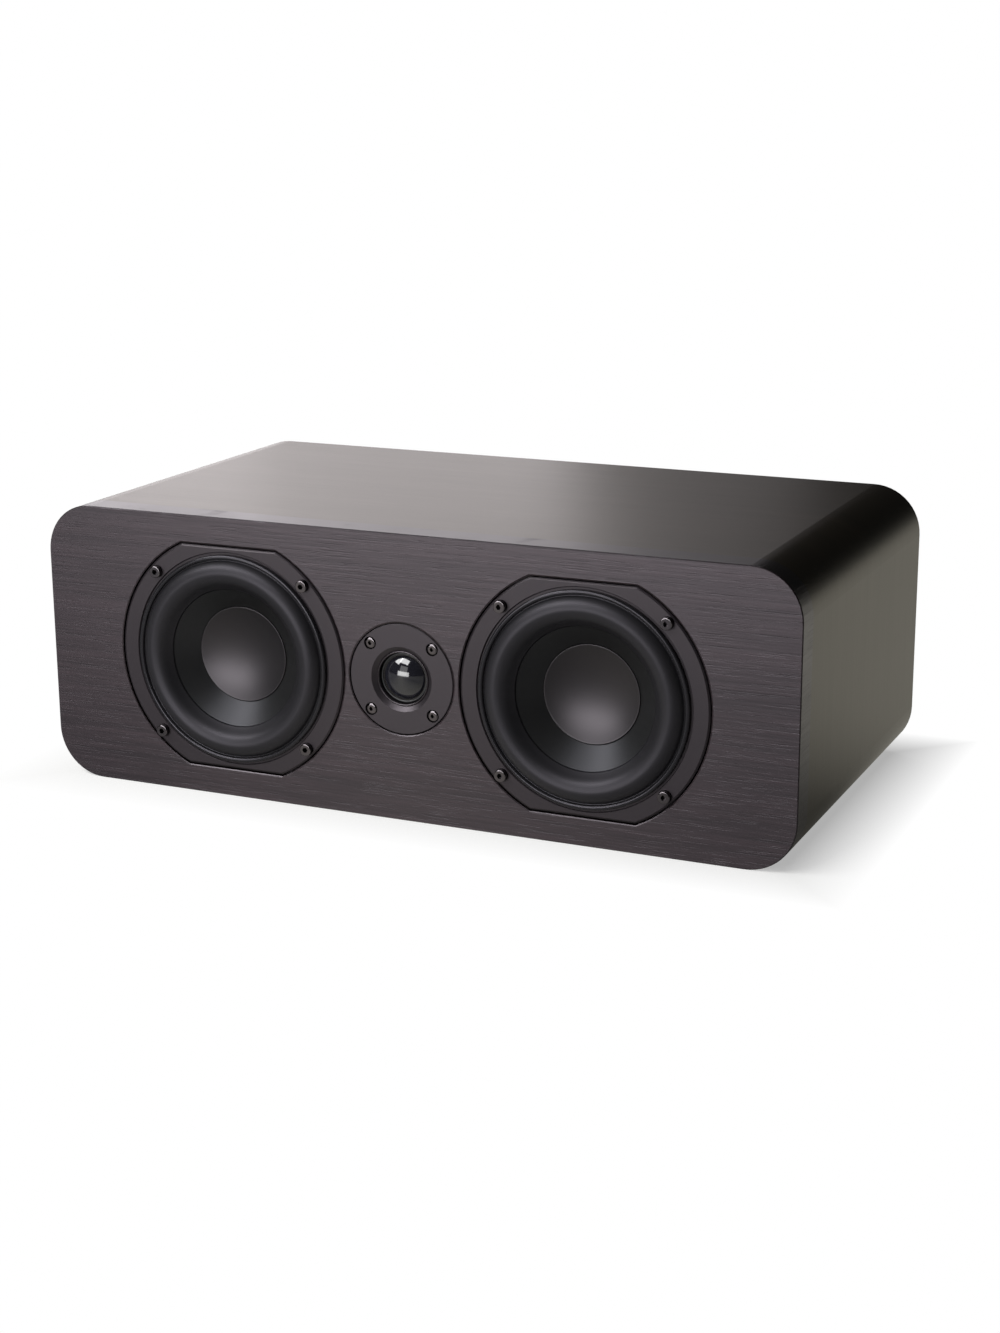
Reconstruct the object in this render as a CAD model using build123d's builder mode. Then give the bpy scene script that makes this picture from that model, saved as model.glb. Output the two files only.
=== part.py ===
"""Center channel speaker: two woofers either side of a dome tweeter in a sealed, wrapped cabinet.

Millimetres. X runs along the cabinet, the baffle faces -Y, Z is up, and the origin is the middle
of the underside. Every driver is described by the plane of its front face: local z points out of
that face, so a depth behind the face is a negative offset.
"""

from build123d import *
from math import cos, radians, sin, sqrt, tan
import os

os.makedirs("parts", exist_ok=True)

# Cabinet
cabinet_width = 470.0
cabinet_height = 169.0
cabinet_depth = 245.0
corner_radius = 29.5
wall = 15.0
baffle_thickness = 18.0
rear_thickness = 15.0
rabbet_width = 7.0
panel_gap = 0.2
edge_break = 0.6
brace_thickness = 12.0
brace_rail = 24.0
brace_window_radius = 18.0
brace_gap = 0.1
wadding_height = 55.0
wadding_gap = 0.3
wadding_to_driver = 12.0

# Spacing of the three drivers along the baffle
driver_gap = 4.5

# Woofer frame and its seat in the baffle
frame_diameter = 148.0
frame_flats = 134.0
frame_gap = 0.9
flange_thickness = 6.0
flange_break = 0.5
gasket_thickness = 1.5
gasket_width = 4.0
rim_diameter = 127.8
rim_gap = 1.2
ledge_depth = 1.0
tub_wall = 2.2
cutout_gap = 1.3
spider_seat_diameter = 81.0
spider_seat_width = 4.5
spider_depth = 31.0
basket_depth = 42.0
basket_back = 3.0
basket_hole_diameter = 48.0
spoke_count = 6
spoke_width = 7.0
tag_pad_width = 20.0
tag_pad_reach = 55.0

# Woofer moving parts
roll_width = 15.0
roll_height = 5.2
roll_thickness = 0.9
bead_width = 2.8
bead_thickness = 2.8
bead_round = 0.7
bead_groove = 0.8
lip_width = 2.7
glue_gap = 0.1
cone_angle = 39.8
cone_thickness = 1.0
cone_edge_depth = 1.1
cone_collar = 4.0
cap_diameter = 57.8
cap_edge = 1.0
cap_dish = 6.0
cap_thickness = 0.8
cap_foot = 1.5
cap_rim_round = 0.4
coil_diameter = 33.0
coil_former_thickness = 0.3
coil_winding_thickness = 0.8
coil_winding_length = 14.0
coil_tail = 0.5
coil_gap = 0.45
spider_thickness = 0.6
spider_wave_count = 6
spider_wave_height = 1.2
spider_collar = 2.0

# Woofer motor
top_plate_diameter = 82.0
top_plate_thickness = 6.0
magnet_diameter = 90.0
magnet_thickness = 16.0
magnet_hole_diameter = 40.0
yoke_thickness = 6.0
pole_vent_diameter = 10.0

# Tag strip that carries a driver's solder tags
tag_strip_width = 17.0
tag_strip_height = 7.0
tag_strip_thickness = 1.5
tag_spacing = 11.0
tag_width = 2.8
tag_thickness = 0.8
tag_length = 8.0

# Woofer screws, with cap heads that stand out of the flange
woofer_screw_circle = 138.2
woofer_screw_recess = 1.0
woofer_head_diameter = 7.2
woofer_head_height = 4.0
woofer_head_round = 0.6
woofer_head_clearance = 0.25
woofer_shank_diameter = 3.8
woofer_shank_length = 14.0
woofer_socket = 3.0

# Tweeter plate and its seat in the baffle
plate_diameter = 65.0
plate_thickness = 5.0
plate_gap = 0.5
plate_gasket_thickness = 0.8
plate_gasket_width = 2.0
horn_mouth_diameter = 38.2
horn_depth = 2.2
throat_diameter = 30.2
throat_bead = 1.2
diaphragm_pocket = 0.5

# Tweeter moving parts
dome_diameter = 26.0
dome_height = 5.4
dome_thickness = 0.3
dome_roll_height = 0.8
dome_roll_thickness = 0.3
dome_flange_width = 2.4
dome_coil_length = 4.6
dome_coil_thickness = 0.35
dome_former_thickness = 0.2
dome_coil_gap = 0.3

# Tweeter motor
tweeter_motor_diameter = 44.0
tweeter_motor_gap = 1.5
tweeter_top_plate = 3.0
tweeter_magnet = 9.0
tweeter_magnet_hole = 30.0
tweeter_yoke = 4.0
tweeter_vent_diameter = 8.0

# Tweeter screws, sunk flush in the plate
tweeter_screw_circle = 55.2
tweeter_head_diameter = 6.8
tweeter_head_height = 2.6
tweeter_head_round = 1.3
tweeter_head_clearance = 0.4
tweeter_shank_diameter = 3.2
tweeter_shank_length = 13.0
tweeter_socket = 2.5

# Screws in general
shank_gap = 0.1
thread_gap = 0.05
tip_length = 2.0
socket_depth_share = 0.6

# Terminal cup on the rear panel
cup_width = 76.0
cup_height = 60.0
cup_corner = 8.0
cup_flange = 2.5
cup_mouth_width = 50.0
cup_mouth_height = 36.0
cup_recess = 24.0
cup_wall = 2.5
cup_floor = 3.0
cup_gap = 0.5
cup_draft = 2.0
cup_screw_inset = 7.0
cup_head_diameter = 6.6
cup_shank_diameter = 3.4
cup_shank_length = 14.0
cup_cross_length = 3.6
cup_cross_width = 0.9
cup_cross_depth = 1.0

# Binding posts
post_spacing = 19.05
stud_diameter = 7.2
banana_bore = 4.1
banana_depth = 15.0
collar_diameter = 13.4
collar_height = 4.0
washer_diameter = 12.6
washer_thickness = 1.2
nut_diameter = 13.6
nut_length = 13.0
nut_overhang = 0.8
nut_taper = 0.6
nut_grip_length = 9.0
flute_count = 14
flute_diameter = 1.7
running_gap = 0.08
lug_thickness = 0.8
lug_diameter = 13.0
lug_tail_width = 4.4
lug_tail_length = 15.5
back_nut_flats = 11.0
back_nut_height = 4.0
stud_tail = 2.0

# Crossover board on the back wall, with places given from the middle of the board
board_width = 104.0
board_height = 84.0
board_thickness = 1.6
board_corner = 4.0
board_hole_inset = 6.0
standoff_diameter = 8.0
standoff_height = 8.0
board_screw_head = 6.0
board_screw_head_height = 2.2
board_screw_shank = 3.0
board_screw_bite = 8.0
low_coil_diameter = 40.0
low_coil_height = 18.0
low_coil_hole = 18.0
low_coil_place = (20.0, 14.0)
high_coil_diameter = 26.0
high_coil_height = 12.0
high_coil_hole = 12.0
high_coil_place = (30.0, -24.0)
large_can_diameter = 16.0
large_can_height = 28.0
large_can_place = (-16.0, 24.0)
small_can_diameter = 13.0
small_can_height = 21.0
small_can_place = (-16.0, 0.0)
can_groove_start = 1.5
can_groove_width = 1.5
can_groove_depth = 0.75
resistor_length = 22.0
resistor_width = 9.0
resistor_place = (-10.5, -28.5)

# Leads inside the cabinet
lead_pitch = 14.0
lead_inset = 7.2
lead_diameter = 3.6
lead_bend = 14.0

# Places that follow from the sizes
front_y = -cabinet_depth / 2
back_y = cabinet_depth / 2
centre_z = cabinet_height / 2
inner_width = cabinet_width - 2 * wall
inner_height = cabinet_height - 2 * wall
inner_radius = corner_radius - wall
inner_front_y = front_y + baffle_thickness
inner_back_y = back_y - rear_thickness
woofer_x = plate_diameter / 2 + driver_gap + frame_diameter / 2


def facing_front(x, y, z):
    """Plane that looks out of the baffle, with local x along X and local y up."""
    return Plane(origin=(x, y, z), x_dir=(1, 0, 0), z_dir=(0, -1, 0))


def shifted(plane, x, y, out=0.0):
    """The same plane moved sideways, up and outwards in its own directions."""
    return Plane(origin=plane.from_local_coords((x, y, out)), x_dir=plane.x_dir, z_dir=plane.z_dir)


def half_section(plane):
    """Plane through a turned piece: local x is the radius and local y points out of the face."""
    return Plane(origin=plane.origin, x_dir=plane.x_dir, z_dir=-plane.y_dir)


def axis_of(plane):
    """Axis of a turned piece that stands on a plane."""
    return Axis(plane.origin, plane.z_dir)


def ring_of_seats(plane, diameter, count=4, start=45.0):
    """Planes spaced evenly around a circle on a plane."""
    step = 360.0 / count
    angles = [radians(start + step * turn) for turn in range(count)]
    return [shifted(plane, diameter / 2 * cos(a), diameter / 2 * sin(a)) for a in angles]


def save(piece, name):
    """Label a finished piece and write its file."""
    piece.part.label = name
    export_step(piece.part, f"parts/{name}.step")


baffle_face = facing_front(0, front_y, centre_z)
rear_face = Plane(origin=(0, back_y, centre_z), x_dir=(-1, 0, 0), z_dir=(0, 1, 0))
tweeter_face = baffle_face
woofer_faces = {"left": shifted(baffle_face, -woofer_x, 0), "right": shifted(baffle_face, woofer_x, 0)}

# Radii of the woofer, from the rim of the surround inwards
rim_radius = rim_diameter / 2
bead_outer = rim_radius - rim_gap
bead_inner = bead_outer - bead_width
roll_outer = bead_inner - bead_groove
roll_inner = roll_outer - roll_width
roll_middle = (roll_outer + roll_inner) / 2
tub_mouth = roll_outer - roll_thickness
tub_outer = tub_mouth + tub_wall
cutout_radius = tub_outer + cutout_gap
spider_seat = spider_seat_diameter / 2
neck_radius = spider_seat - spider_seat_width
former_outer = coil_diameter / 2
former_inner = former_outer - coil_former_thickness
winding_outer = former_outer + coil_winding_thickness
pole_radius = former_inner - coil_gap
gap_radius = winding_outer + coil_gap
collar_radius = former_outer + glue_gap
cap_radius = cap_diameter / 2

# Depths of the woofer behind the baffle face
rebate_depth = flange_thickness + gasket_thickness
magnet_depth = basket_depth + top_plate_thickness
yoke_depth = magnet_depth + magnet_thickness
woofer_depth = yoke_depth + yoke_thickness
coil_middle = basket_depth + top_plate_thickness / 2
coil_end = coil_middle + coil_winding_length / 2 + coil_tail
tag_pad_depth = basket_depth - basket_back

# Radii and depths of the tweeter
plate_radius = plate_diameter / 2
throat_radius = throat_diameter / 2
dome_radius = dome_diameter / 2
dome_former_radius = dome_radius + dome_former_thickness
dome_winding_radius = dome_former_radius + dome_coil_thickness
tweeter_motor_radius = tweeter_motor_diameter / 2
tweeter_cutout = tweeter_motor_radius + tweeter_motor_gap
plate_rebate = plate_thickness + plate_gasket_thickness
dome_edge_depth = plate_thickness - dome_roll_thickness
tweeter_magnet_depth = plate_thickness + tweeter_top_plate
tweeter_yoke_depth = tweeter_magnet_depth + tweeter_magnet
tweeter_depth = tweeter_yoke_depth + tweeter_yoke

# Places of the cup, the braces and the board
cup_body_width = cup_mouth_width + 2 * cup_wall
cup_body_height = cup_mouth_height + 2 * cup_wall
cup_floor_face = rear_face.offset(cup_flange - cup_recess)
cup_screw_x = cup_width / 2 - cup_screw_inset
cup_screw_z = cup_height / 2 - cup_screw_inset
brace_inside = cup_body_width / 2 + cup_gap + brace_thickness / 2
brace_x = max((tweeter_cutout + woofer_x - cutout_radius) / 2, brace_inside)
chamber_width = inner_width / 2 - brace_x - brace_thickness / 2
chamber_x = brace_x + brace_thickness / 2 + chamber_width / 2
board_face = facing_front(chamber_x, inner_back_y - standoff_height - board_thickness, centre_z)
board_back_face = board_face.offset(-board_thickness)
board_hole_x = board_width / 2 - board_hole_inset
board_hole_z = board_height / 2 - board_hole_inset
board_parts_height = max(low_coil_height, high_coil_height, large_can_height, small_can_height)


def cone_front(radius):
    """Height of the cone's front surface at a radius, measured from the baffle face."""
    return -cone_edge_depth - (roll_inner - radius) * tan(radians(cone_angle))


def cap_front(radius):
    """Height of the dished cap's front surface at a radius."""
    sphere = (cap_radius**2 + cap_dish**2) / (2 * cap_dish)
    bottom = cone_front(cap_radius) + glue_gap + cap_edge - cap_dish
    return bottom + sphere - sqrt(sphere**2 - radius**2)


def frame_outline(grow=0.0):
    """Circle cut flat along its top and bottom, drawn in the sketch that is open."""
    Circle(frame_diameter / 2 + grow)
    Rectangle(2 * frame_diameter, frame_flats + 2 * grow, mode=Mode.INTERSECT)


def turned_ring(plane, inner, outer, near, far):
    """Plain ring about a plane's axis, between two depths, added to the part that is open."""
    with BuildSketch(plane.offset(-near)) as ring:
        Circle(outer)
        Circle(inner, mode=Mode.SUBTRACT)
    extrude(ring.sketch, amount=near - far)


def socket_screw(seat, head_radius, head_height, head_round, proud, socket, shank_radius, shank_length):
    """Round-edged wood screw with a hexagon socket, added to the part that is open."""
    under_head = proud - head_height
    top_edge = (head_radius - head_round, proud)
    side_edge = (head_radius, proud - head_round)
    with BuildSketch(half_section(seat)) as profile:
        with BuildLine():
            Line((0, proud), top_edge)
            RadiusArc(top_edge, side_edge, head_round)
            Polyline(
                side_edge,
                (head_radius, under_head),
                (shank_radius, under_head),
                (shank_radius, under_head - shank_length + tip_length),
                (0, under_head - shank_length),
                (0, proud),
            )
        make_face()
    revolve(profile.sketch, axis=axis_of(seat))
    with BuildSketch(seat.offset(proud)) as hexagon:
        RegularPolygon(socket / 2, 6, major_radius=False)
    extrude(hexagon.sketch, amount=-head_height * socket_depth_share, mode=Mode.SUBTRACT)


# Wrap: veneered board bent into one closed band, rabbeted at the back for the rear panel
with BuildPart() as cabinet_wrap:
    with BuildSketch(baffle_face.offset(-baffle_thickness)):
        RectangleRounded(cabinet_width, cabinet_height, corner_radius)
        RectangleRounded(inner_width, inner_height, inner_radius, mode=Mode.SUBTRACT)
    extrude(amount=baffle_thickness - cabinet_depth)
    with BuildSketch(rear_face):
        RectangleRounded(
            inner_width + 2 * rabbet_width, inner_height + 2 * rabbet_width, inner_radius + rabbet_width
        )
    extrude(amount=-rear_thickness, mode=Mode.SUBTRACT)
save(cabinet_wrap, "cabinet_wrap")

# Baffle: full-size front board with a stepped seat for each driver
with BuildPart() as front_baffle:
    with BuildSketch(baffle_face):
        RectangleRounded(cabinet_width, cabinet_height, corner_radius)
    extrude(amount=-baffle_thickness)
    chamfer(front_baffle.faces().sort_by(Axis.Y)[0].edges(), edge_break)
    for face in woofer_faces.values():
        with BuildSketch(face):
            frame_outline(frame_gap)
        extrude(amount=-rebate_depth, mode=Mode.SUBTRACT)
        with BuildSketch(face):
            Circle(cutout_radius)
        extrude(amount=-baffle_thickness, mode=Mode.SUBTRACT)
        with BuildSketch(face):
            with PolarLocations(woofer_screw_circle / 2, 4, 45):
                Circle(woofer_shank_diameter / 2 + thread_gap)
        extrude(amount=-woofer_screw_recess - woofer_shank_length - shank_gap, mode=Mode.SUBTRACT)
    with BuildSketch(tweeter_face):
        Circle(plate_radius + plate_gap)
    extrude(amount=-plate_rebate, mode=Mode.SUBTRACT)
    with BuildSketch(tweeter_face):
        Circle(tweeter_cutout)
    extrude(amount=-baffle_thickness, mode=Mode.SUBTRACT)
    with BuildSketch(tweeter_face):
        with PolarLocations(tweeter_screw_circle / 2, 4, 45):
            Circle(tweeter_shank_diameter / 2 + thread_gap)
    extrude(amount=-tweeter_head_height - tweeter_shank_length - shank_gap, mode=Mode.SUBTRACT)
save(front_baffle, "front_baffle")

# Rear panel: let into the rabbet, open for the terminal cup and drilled for its screws
with BuildPart() as rear_panel:
    panel_grow = 2 * (rabbet_width - panel_gap)
    with BuildSketch(rear_face):
        RectangleRounded(
            inner_width + panel_grow, inner_height + panel_grow, inner_radius + rabbet_width - panel_gap
        )
    extrude(amount=-rear_thickness)
    with BuildSketch(rear_face):
        RectangleRounded(cup_body_width + 2 * cup_gap, cup_body_height + 2 * cup_gap, cup_corner)
    extrude(amount=-rear_thickness, mode=Mode.SUBTRACT)
    with BuildSketch(rear_face):
        with GridLocations(2 * cup_screw_x, 2 * cup_screw_z, 2, 2):
            Circle(cup_shank_diameter / 2 + thread_gap)
    extrude(amount=cup_flange - cup_shank_length - shank_gap, mode=Mode.SUBTRACT)
    with BuildSketch(facing_front(chamber_x, inner_back_y, centre_z)):
        with GridLocations(2 * board_hole_x, 2 * board_hole_z, 2, 2):
            Circle(board_screw_shank / 2 + thread_gap)
    extrude(amount=-board_screw_bite - shank_gap, mode=Mode.SUBTRACT)
save(rear_panel, "rear_panel")

# Braces: a windowed board either side of the tweeter ties the walls, baffle and back together
for side, sign in (("left", -1), ("right", 1)):
    with BuildPart() as brace:
        brace_middle = (inner_front_y + inner_back_y) / 2
        brace_length = inner_back_y - inner_front_y - 2 * brace_gap
        brace_height = inner_height - 2 * brace_gap
        middle = Plane(origin=(sign * brace_x, brace_middle, centre_z), x_dir=(0, 1, 0), z_dir=(1, 0, 0))
        with BuildSketch(middle):
            Rectangle(brace_length, brace_height)
            RectangleRounded(
                brace_length - 2 * brace_rail,
                brace_height - 2 * brace_rail,
                brace_window_radius,
                mode=Mode.SUBTRACT,
            )
        extrude(amount=brace_thickness / 2, both=True)
    save(brace, f"{side}_brace")

# Wadding: a soft block that fills the top of each end chamber behind the woofer
for side, sign in (("left", -1), ("right", 1)):
    with BuildPart() as wadding:
        wadding_front = front_y + woofer_depth + wadding_to_driver
        wadding_back = board_face.origin.Y - board_parts_height - wadding_to_driver
        top = centre_z + inner_height / 2 - wadding_gap
        with BuildSketch(facing_front(sign * chamber_x, wadding_front, top - wadding_height / 2)):
            RectangleRounded(chamber_width - 2 * wadding_gap, wadding_height, inner_radius)
        extrude(amount=wadding_front - wadding_back)
    save(wadding, f"{side}_wadding")


def make_woofer(side, face):
    """All the pieces of one woofer, on the plane of its frame's front face."""
    section = half_section(face)
    spin = axis_of(face)

    # Basket: cut-flat flange with a step for the surround, and a spoked tub down to the motor
    with BuildPart() as basket:
        with BuildSketch(face):
            frame_outline()
            Circle(rim_radius, mode=Mode.SUBTRACT)
        extrude(amount=-flange_thickness)
        chamfer(basket.faces().sort_by(Axis.Y)[0].edges(), flange_break)
        with BuildSketch(section):
            with BuildLine():
                Polyline(
                    (rim_radius + tub_wall, -ledge_depth - flange_break),
                    (rim_radius, -ledge_depth),
                    (tub_mouth, -ledge_depth),
                    (tub_mouth, -flange_thickness),
                    (spider_seat, -spider_depth),
                    (neck_radius, -spider_depth),
                    (neck_radius, -tag_pad_depth),
                    (basket_hole_diameter / 2, -tag_pad_depth),
                    (basket_hole_diameter / 2, -basket_depth),
                    (neck_radius + tub_wall, -basket_depth),
                    (neck_radius + tub_wall, -spider_depth - tub_wall),
                    (spider_seat + tub_wall, -spider_depth - tub_wall),
                    (tub_outer, -flange_thickness),
                    (rim_radius + tub_wall, -flange_thickness),
                    close=True,
                )
            make_face()
        revolve(axis=spin)
        window_inner = spider_seat + tub_wall
        window_outer = tub_mouth - tub_wall
        window_radius = (window_inner + window_outer) / 2
        window_width = window_outer - window_inner
        window_sweep = 360 / spoke_count - (spoke_width + window_width) / radians(window_radius)
        with BuildSketch(face.offset(-flange_thickness)):
            with PolarLocations(0, spoke_count):
                SlotArc(CenterArc((0, 0), window_radius, -window_sweep / 2, window_sweep), window_width)
        extrude(amount=flange_thickness - spider_depth, mode=Mode.SUBTRACT)
        with BuildSketch(face.offset(-tag_pad_depth)):
            with Locations((0, -(neck_radius + tag_pad_reach) / 2)):
                Rectangle(tag_pad_width, tag_pad_reach - neck_radius)
        extrude(amount=-basket_back)
        with BuildSketch(face):
            with PolarLocations(woofer_screw_circle / 2, 4, 45):
                Circle(woofer_head_diameter / 2 + woofer_head_clearance)
        extrude(amount=-woofer_screw_recess, mode=Mode.SUBTRACT)
        with BuildSketch(face):
            with PolarLocations(woofer_screw_circle / 2, 4, 45):
                Circle(woofer_shank_diameter / 2 + shank_gap)
        extrude(amount=-flange_thickness, mode=Mode.SUBTRACT)
    save(basket, f"{side}_woofer_basket")

    # Foam gasket between the flange and the floor of its seat
    with BuildPart() as gasket:
        turned_ring(face, cutout_radius, cutout_radius + gasket_width, flange_thickness, rebate_depth)
    save(gasket, f"{side}_woofer_gasket")

    # Surround: proud rounded bead on the basket's step, half roll, and a lip on the front of the cone
    flange_top = -ledge_depth + roll_thickness
    bead_top = -ledge_depth + bead_thickness
    lip_inner = roll_inner - lip_width
    roll_crest = flange_top + roll_height
    with BuildPart() as surround:
        with BuildSketch(section):
            with BuildLine():
                Line((tub_mouth, -ledge_depth), (bead_outer, -ledge_depth))
                FilletPolyline(
                    (bead_outer, -ledge_depth),
                    (bead_outer, bead_top),
                    (bead_inner, bead_top),
                    (bead_inner, flange_top),
                    radius=bead_round,
                )
                Line((bead_inner, flange_top), (roll_outer, flange_top))
                lip_top = cone_front(roll_inner) + glue_gap + roll_thickness
                ThreePointArc((roll_outer, flange_top), (roll_middle, roll_crest), (roll_inner, lip_top))
                Polyline(
                    (roll_inner, lip_top),
                    (lip_inner, cone_front(lip_inner) + glue_gap + roll_thickness),
                    (lip_inner, cone_front(lip_inner) + glue_gap),
                    (roll_inner + roll_thickness, cone_front(roll_inner + roll_thickness) + glue_gap),
                )
                ThreePointArc(
                    (roll_inner + roll_thickness, cone_front(roll_inner + roll_thickness) + glue_gap),
                    (roll_middle, roll_crest - roll_thickness),
                    (tub_mouth, -ledge_depth),
                )
            make_face()
        revolve(axis=spin)
    save(surround, f"{side}_woofer_surround")

    # Cone: straight-sided, with a collar glued around the coil former
    collar_outer = collar_radius + cone_thickness
    collar_end = cone_front(collar_radius) - cone_collar
    with BuildPart() as cone:
        with BuildSketch(section):
            with BuildLine():
                Polyline(
                    (roll_inner, cone_front(roll_inner)),
                    (collar_radius, cone_front(collar_radius)),
                    (collar_radius, collar_end),
                    (collar_outer, collar_end),
                    (collar_outer, cone_front(collar_outer) - cone_thickness),
                    (roll_inner, cone_front(roll_inner) - cone_thickness),
                    close=True,
                )
            make_face()
        revolve(axis=spin)
    save(cone, f"{side}_woofer_cone")

    # Dust cap: dished inwards, with a rounded rim and a foot that follows the slope of the cone
    foot_radius = cap_radius - cap_foot
    with BuildPart() as dust_cap:
        with BuildSketch(section):
            with BuildLine():
                Polyline(
                    (foot_radius, cone_front(foot_radius) + glue_gap),
                    (cap_radius, cone_front(cap_radius) + glue_gap),
                    (cap_radius, cap_front(cap_radius)),
                )
                ThreePointArc(
                    (cap_radius, cap_front(cap_radius)),
                    (cap_radius / 2, cap_front(cap_radius / 2)),
                    (0, cap_front(0)),
                )
                Line((0, cap_front(0)), (0, cap_front(0) - cap_thickness))
                ThreePointArc(
                    (0, cap_front(0) - cap_thickness),
                    (foot_radius / 2, cap_front(foot_radius / 2) - cap_thickness),
                    (foot_radius, cone_front(foot_radius) + glue_gap),
                )
            make_face()
        revolve(axis=spin)
        fillet(dust_cap.edges().sort_by(Axis.Y)[0], cap_rim_round)
    save(dust_cap, f"{side}_woofer_dust_cap")

    # Voice coil: thin former with the winding around its far end
    former_top = -cone_front(collar_radius)
    winding_near = coil_middle - coil_winding_length / 2
    winding_far = coil_middle + coil_winding_length / 2
    with BuildPart() as voice_coil:
        turned_ring(face, former_inner, former_outer, former_top, coil_end)
        turned_ring(face, former_outer, winding_outer, winding_near, winding_far)
    save(voice_coil, f"{side}_woofer_voice_coil")

    # Spider: corrugated cloth disc from the basket's inner step to the former
    wave_outer = neck_radius - glue_gap
    wave_inner = collar_radius + spider_collar
    wave_step = (wave_outer - wave_inner) / spider_wave_count
    with BuildPart() as spider:
        with BuildSketch(section):
            with BuildLine():
                for level in (-spider_depth, -spider_depth + spider_thickness):
                    Line((spider_seat - glue_gap, level), (wave_outer, level))
                    for wave in range(spider_wave_count):
                        start = wave_outer - wave * wave_step
                        lift = spider_wave_height if wave % 2 else -spider_wave_height
                        crest = (start - wave_step / 2, level + lift)
                        ThreePointArc((start, level), crest, (start - wave_step, level))
                    Line((wave_inner, level), (collar_radius, level))
                for radius in (spider_seat - glue_gap, collar_radius):
                    Line((radius, -spider_depth), (radius, -spider_depth + spider_thickness))
            make_face()
        revolve(axis=spin)
    save(spider, f"{side}_woofer_spider")

    # Motor: steel plate on the basket, ring magnet, and a yoke whose vented pole fills the coil
    with BuildPart() as top_plate:
        turned_ring(face, gap_radius, top_plate_diameter / 2, basket_depth, magnet_depth)
    save(top_plate, f"{side}_woofer_top_plate")

    with BuildPart() as magnet:
        turned_ring(face, magnet_hole_diameter / 2, magnet_diameter / 2, magnet_depth, yoke_depth)
    save(magnet, f"{side}_woofer_magnet")

    with BuildPart() as yoke:
        turned_ring(face, pole_vent_diameter / 2, pole_radius, basket_depth, yoke_depth)
        turned_ring(face, pole_vent_diameter / 2, top_plate_diameter / 2, yoke_depth, woofer_depth)
    save(yoke, f"{side}_woofer_yoke")

    # Tag strip on the basket's pad, below the motor
    tag_seat = shifted(face, 0, -tag_pad_reach + tag_strip_height / 2, -basket_depth)
    with BuildPart() as tag_strip:
        add_tag_strip(tag_seat)
    save(tag_strip, f"{side}_woofer_tag_strip")


def add_tag_strip(seat):
    """Insulating strip with two flat tags that stand off its back, added to the open part."""
    with BuildSketch(seat) as strip:
        Rectangle(tag_strip_width, tag_strip_height)
    extrude(strip.sketch, amount=-tag_strip_thickness)
    with BuildSketch(seat.offset(-tag_strip_thickness)) as tags:
        with GridLocations(tag_spacing, 0, 2, 1):
            Rectangle(tag_width, tag_thickness)
    extrude(tags.sketch, amount=-tag_length)


for woofer_side, woofer_face in woofer_faces.items():
    make_woofer(woofer_side, woofer_face)

# Woofer screws: four to each frame, near its rim
with BuildPart() as woofer_screws:
    for face in woofer_faces.values():
        for seat in ring_of_seats(face, woofer_screw_circle):
            socket_screw(
                seat,
                woofer_head_diameter / 2,
                woofer_head_height,
                woofer_head_round,
                woofer_head_height - woofer_screw_recess,
                woofer_socket,
                woofer_shank_diameter / 2,
                woofer_shank_length,
            )
save(woofer_screws, "woofer_screws")

# Tweeter plate: shallow horn down to a bead around the throat, counterbored for its screws
with BuildPart() as tweeter_plate:
    flange_outer = throat_radius + dome_flange_width
    with BuildSketch(half_section(tweeter_face)):
        with BuildLine():
            bead_start = (throat_radius + throat_bead, -horn_depth)
            bead_crest = (throat_radius + throat_bead / 2, -horn_depth + throat_bead / 2)
            bead_end = (throat_radius, -horn_depth)
            Polyline(
                (plate_radius, -plate_thickness),
                (plate_radius, -flange_break),
                (plate_radius - flange_break, 0),
                (horn_mouth_diameter / 2, 0),
                bead_start,
            )
            ThreePointArc(bead_start, bead_crest, bead_end)
            Polyline(
                bead_end,
                (throat_radius, -plate_thickness + diaphragm_pocket),
                (flange_outer + glue_gap, -plate_thickness + diaphragm_pocket),
                (flange_outer + glue_gap, -plate_thickness),
                (plate_radius, -plate_thickness),
            )
        make_face()
    revolve(axis=axis_of(tweeter_face))
    with BuildSketch(tweeter_face):
        with PolarLocations(tweeter_screw_circle / 2, 4, 45):
            Circle(tweeter_head_diameter / 2 + tweeter_head_clearance)
    extrude(amount=-tweeter_head_height, mode=Mode.SUBTRACT)
    with BuildSketch(tweeter_face):
        with PolarLocations(tweeter_screw_circle / 2, 4, 45):
            Circle(tweeter_shank_diameter / 2 + shank_gap)
    extrude(amount=-plate_thickness, mode=Mode.SUBTRACT)
save(tweeter_plate, "tweeter_plate")

# Gasket between the tweeter plate and the floor of its seat
with BuildPart() as tweeter_gasket:
    turned_ring(
        tweeter_face, tweeter_cutout, tweeter_cutout + plate_gasket_width, plate_thickness, plate_rebate
    )
save(tweeter_gasket, "tweeter_gasket")

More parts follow.
